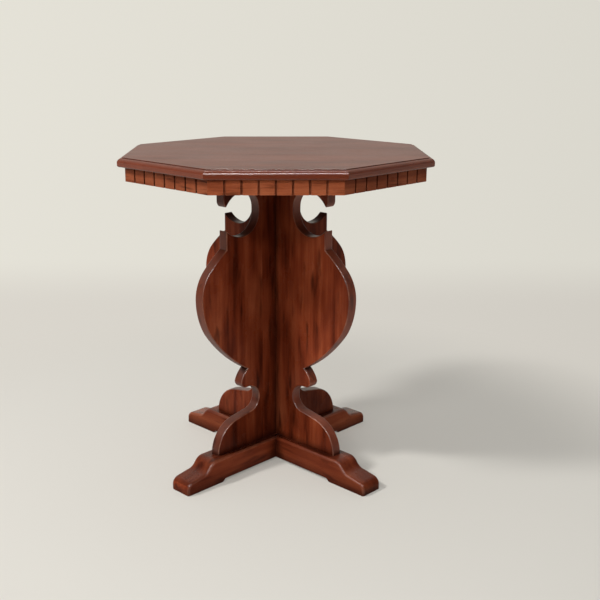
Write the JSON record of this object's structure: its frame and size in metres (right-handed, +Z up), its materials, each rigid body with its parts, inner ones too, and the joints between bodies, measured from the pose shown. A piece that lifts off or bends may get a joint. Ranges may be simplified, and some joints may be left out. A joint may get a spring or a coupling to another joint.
{
  "type": "pedestal side table",
  "caption": "Octagonal wooden side table with a moulded top, dentil apron, crossed fretted scroll boards and sled feet.",
  "frame": {"origin": "on the floor, under the pedestal's axis", "axes": "+Z up to the top; the two scroll boards and the feet lie along X and Y; flats of the octagon face X and Y"},
  "size_m": [0.6, 0.6, 0.66],
  "materials": {
    "top": "dark red-brown stain under gloss varnish",
    "apron": "dark red-brown stain under gloss varnish",
    "pedestal": "dark red-brown stain under gloss varnish",
    "feet": "dark red-brown stain under gloss varnish",
    "inner_wood": "planed, stained and left without gloss",
    "steel": "zinc plated"
  },
  "bodies": {
    "root": {"top_board_1": "top", "top_board_2": "top", "top_board_3": "top", "top_board_4": "top", "top_board_5": "top", "apron_rail_1": "apron", "apron_rail_2": "apron", "apron_rail_3": "apron", "apron_rail_4": "apron", "apron_rail_5": "apron", "apron_rail_6": "apron", "apron_rail_7": "apron", "apron_rail_8": "apron", "scroll_core_a": "pedestal", "scroll_core_b": "pedestal", "scroll_wing_1": "pedestal", "scroll_wing_2": "pedestal", "scroll_wing_3": "pedestal", "scroll_wing_4": "pedestal", "foot_beam_a": "feet", "foot_beam_b": "feet", "glue_blocks": "inner_wood", "top_bearer_a": "inner_wood", "top_bearer_b": "inner_wood", "foot_screws": "steel", "top_screws": "steel"}
  },
  "joints": []
}
